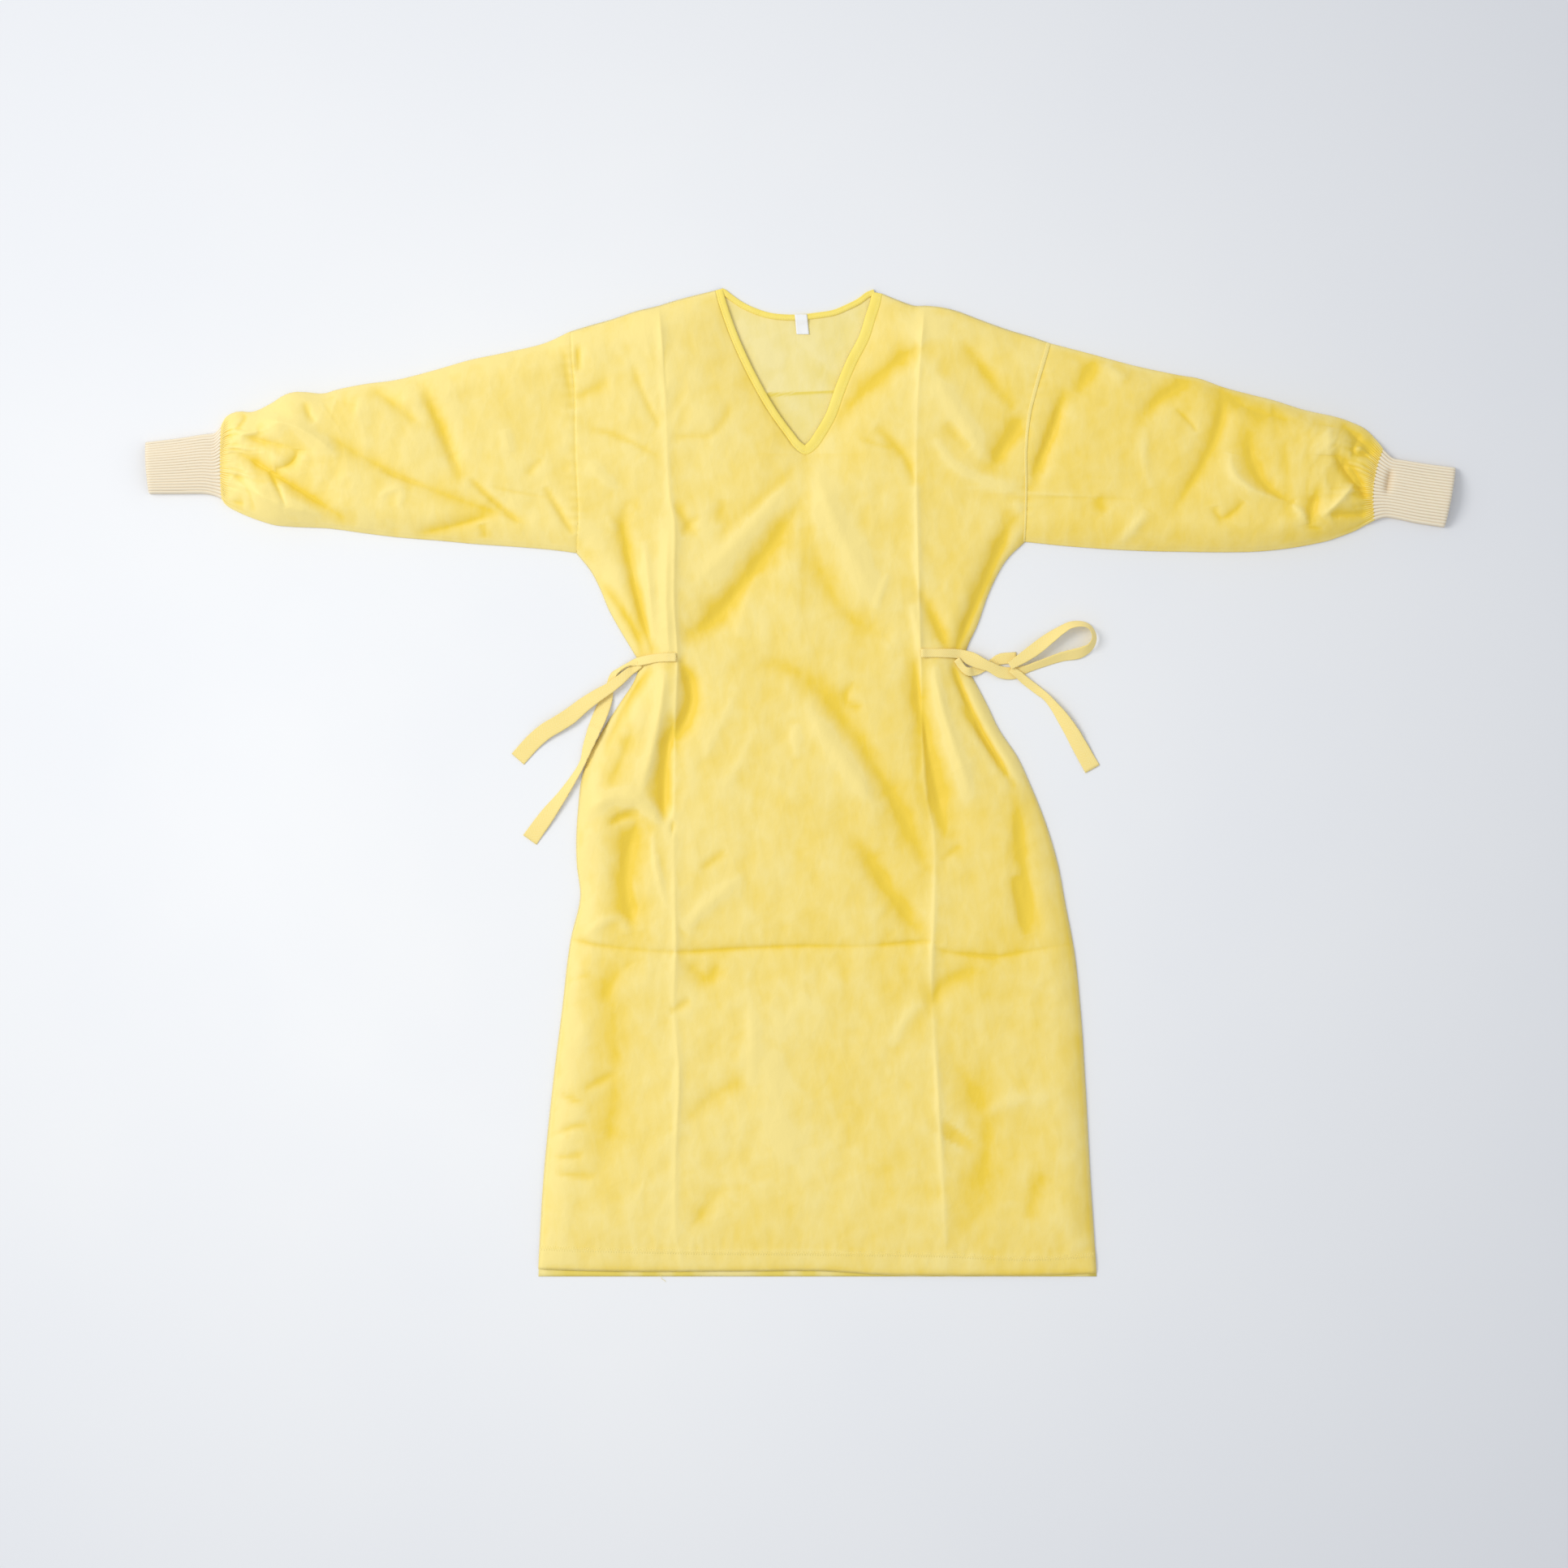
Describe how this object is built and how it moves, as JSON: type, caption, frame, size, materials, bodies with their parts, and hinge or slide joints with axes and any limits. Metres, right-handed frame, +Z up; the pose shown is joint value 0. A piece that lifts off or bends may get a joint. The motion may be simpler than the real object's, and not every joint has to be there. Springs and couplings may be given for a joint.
{
  "type": "isolation gown",
  "caption": "Long-sleeved protective gown laid flat, face up, with a V neck, rib-knit cuffs and tape waist ties, one pair tied with a loop.",
  "frame": {"origin": "on the surface that the gown lies on, at the middle of its box", "axes": "+X across the gown, from the left sleeve to the right one as seen; +Y from the hem to the neck; +Z up from the surface, out of the front"},
  "size_m": [1.5215, 1.1488, 0.0309],
  "materials": {
    "yellow_cloth": "satin, thin crisp woven cloth",
    "binding_cloth": "satin, folded strip",
    "cuff_knit": "matt rib knit",
    "tie_tape": "matt woven tape",
    "label_cloth": "satin, bare"
  },
  "bodies": {
    "root": {"front_panel": "yellow_cloth", "back_panel": "yellow_cloth", "sleeve_left": "yellow_cloth", "sleeve_right": "yellow_cloth", "cuff_left": "cuff_knit", "cuff_right": "cuff_knit", "neck_binding_front": "binding_cloth", "neck_binding_back": "binding_cloth", "neck_label": "label_cloth", "tie_left_front": "tie_tape", "tie_left_back": "tie_tape", "tie_right_front": "tie_tape", "tie_right_back": "tie_tape", "tie_right_tail": "tie_tape"}
  },
  "joints": []
}
